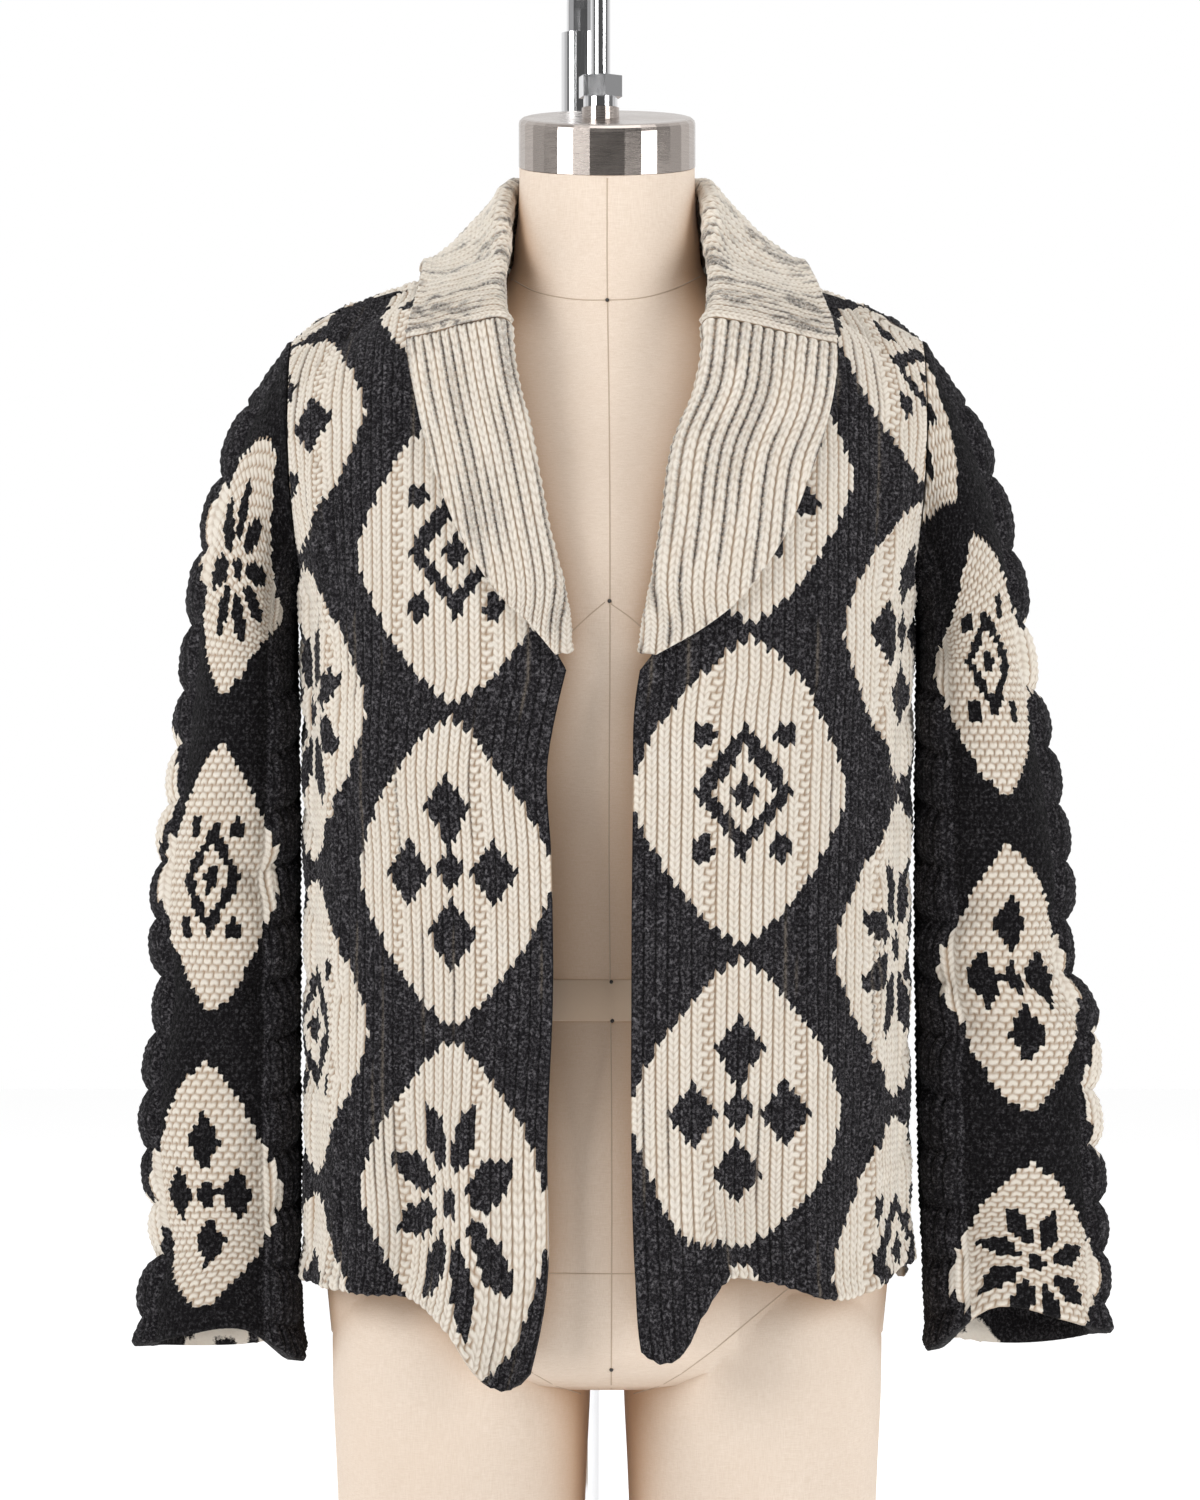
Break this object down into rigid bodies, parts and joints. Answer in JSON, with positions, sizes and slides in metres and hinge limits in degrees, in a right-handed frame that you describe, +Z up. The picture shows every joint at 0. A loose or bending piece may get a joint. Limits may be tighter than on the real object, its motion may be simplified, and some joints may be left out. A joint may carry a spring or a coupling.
{
  "type": "shawl-collar cardigan on a dress form",
  "caption": "Open hand-knit cardigan with rolled shawl collar and lapels, hung on a headless, armless dress form with a pole stand.",
  "frame": {"origin": "centre of the object's bounding box at the floor, under the form", "axes": "+Z up, -Y towards the viewer of the picture (the open front), +X to that viewer's right"},
  "size_m": [0.5908, 0.48, 1.129],
  "materials": {
    "wool_charcoal": "felted chunky charcoal wool with cream motifs",
    "wool_cream": "felted chunky cream wool flecked with grey",
    "canvas": "stretched matt linen canvas",
    "brushed_cap": "brushed",
    "chrome_tube": "polished",
    "coated_iron": "pale satin coating"
  },
  "bodies": {
    "root": {"back": "wool_charcoal", "front_left": "wool_charcoal", "front_right": "wool_charcoal", "sleeve_left": "wool_charcoal", "sleeve_right": "wool_charcoal", "lapel_left": "wool_charcoal", "lapel_right": "wool_charcoal", "collar": "wool_cream", "form_torso": "canvas", "neck_cap": "brushed_cap", "hex_nut": "brushed_cap", "hanger_rod": "chrome_tube", "stand_arm": "chrome_tube", "stand_pole": "chrome_tube", "stand_base": "coated_iron"}
  },
  "joints": []
}
